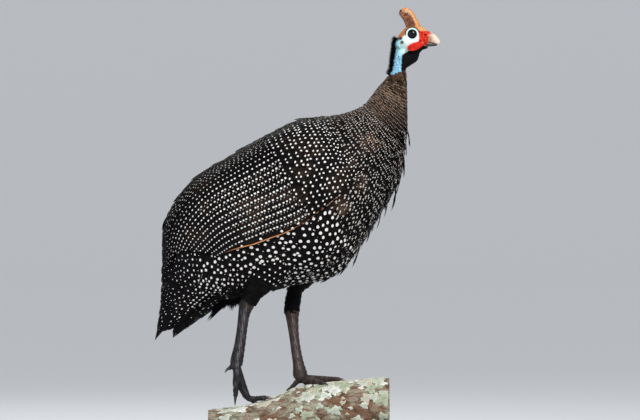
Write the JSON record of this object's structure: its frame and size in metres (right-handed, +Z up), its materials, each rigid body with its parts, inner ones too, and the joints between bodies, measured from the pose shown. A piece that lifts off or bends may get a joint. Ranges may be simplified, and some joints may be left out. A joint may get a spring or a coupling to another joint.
{
  "type": "guinea fowl model on a branch perch",
  "caption": "Life-size still model of a helmeted guinea fowl, spotted and full feathered, gripping a short length of lichened branch on a plain stand.",
  "frame": {"origin": "centre of the underside of the stand's base", "axes": "+X the way the bird faces, +Y its left side, +Z up"},
  "size_m": [0.3557, 0.176, 0.5821],
  "materials": {
    "plumage": "black-brown feathers with white spots, in lapping rows",
    "hackle": "short soft feathers, finely flecked",
    "blue_skin": "bare wrinkled skin, pale blue",
    "face_skin": "bare skin, pale blue-white with red and black parts",
    "red_skin": "soft red skin fold",
    "casque_horn": "dull orange-brown horn",
    "bill_horn": "pale horn, satin",
    "eye": "dark brown, wet gloss",
    "leg_skin": "dark grey-brown scaled skin",
    "claw_horn": "dark horn, satin",
    "bark": "rough bark with pale lichen",
    "plate": "dark stained, satin",
    "steel": "satin steel"
  },
  "bodies": {
    "root": {"torso": "plumage", "tail": "plumage", "wing_right": "plumage", "wing_left": "plumage", "thigh_right": "plumage", "thigh_left": "plumage", "neck_feathered": "hackle", "neck_bare": "blue_skin", "head": "face_skin", "casque": "casque_horn", "bill_upper": "bill_horn", "bill_lower": "bill_horn", "eye_right": "eye", "eye_left": "eye", "wattle_right": "red_skin", "wattle_left": "red_skin", "shank_right": "leg_skin", "foot_right": "leg_skin", "shank_left": "leg_skin", "foot_left": "leg_skin", "claw_right_middle": "claw_horn", "claw_right_outer": "claw_horn", "claw_right_inner": "claw_horn", "claw_right_hind": "claw_horn", "claw_left_middle": "claw_horn", "claw_left_outer": "claw_horn", "claw_left_inner": "claw_horn", "claw_left_hind": "claw_horn", "branch": "bark", "stand_base": "plate", "stand_rod_1": "steel", "stand_rod_2": "steel"}
  },
  "joints": []
}
